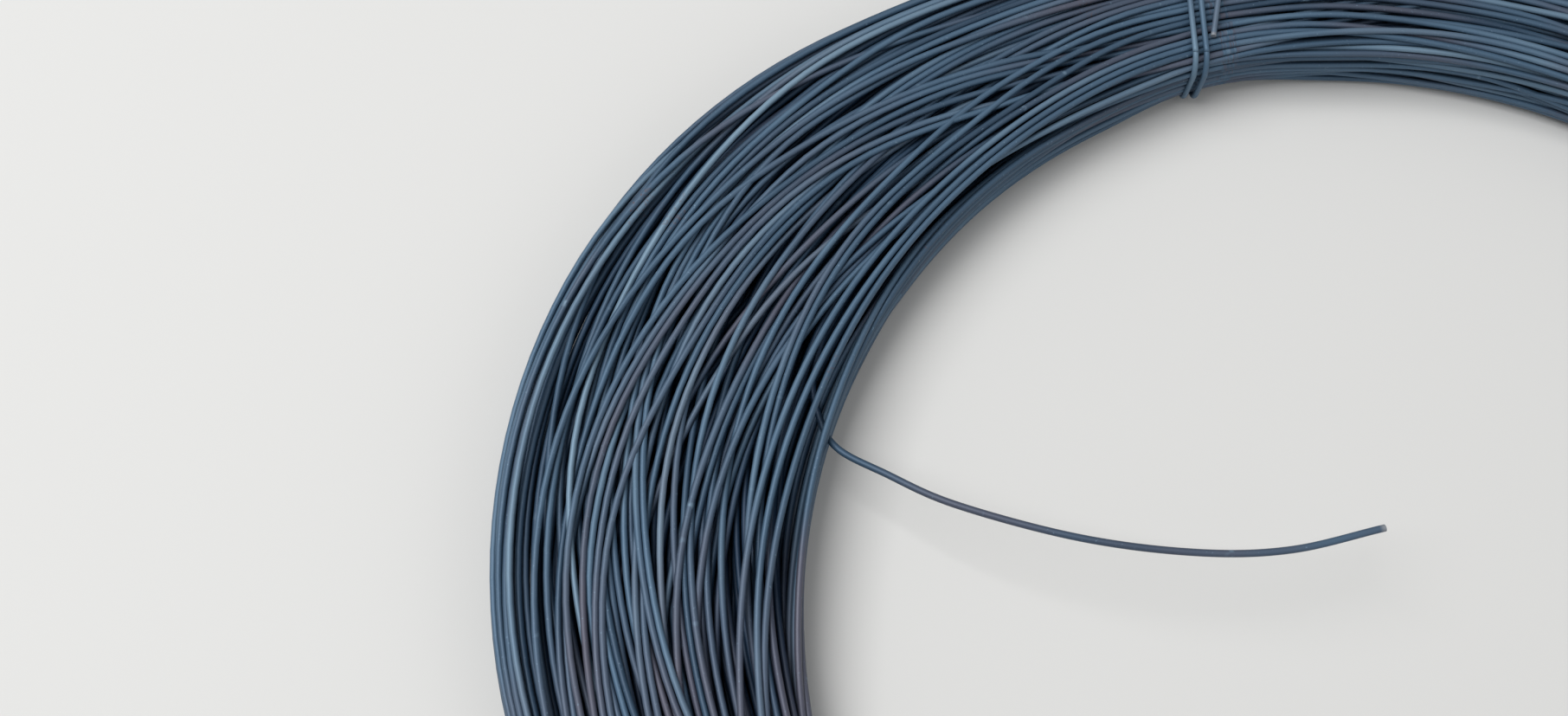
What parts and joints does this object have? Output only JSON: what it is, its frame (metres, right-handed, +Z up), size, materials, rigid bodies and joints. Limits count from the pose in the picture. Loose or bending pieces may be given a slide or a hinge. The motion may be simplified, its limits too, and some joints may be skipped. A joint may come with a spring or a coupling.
{
  "type": "wire coil",
  "caption": "Coil of drawn steel wire lying flat, with a round bore, turns drawn in and held by double-wrapped twisted wire ties, and a free wire end across the bore.",
  "frame": {"origin": "centre of the bore, half way up the coil", "axes": "+Z up along the bore axis as the coil lies flat; +X and +Y in the plane of the coil, with a tie 14 degrees past +Y towards -X"},
  "size_m": [0.7386, 0.7367, 0.0452],
  "materials": {
    "coil_wire": "dull satin drawn steel, dark blue-grey, dusty, with faint rust",
    "tie_wire": "dull satin soft steel"
  },
  "bodies": {
    "root": {"wire_coil": "coil_wire", "wire_end": "coil_wire", "tie_1": "tie_wire", "tie_2": "tie_wire", "tie_3": "tie_wire"}
  },
  "joints": []
}
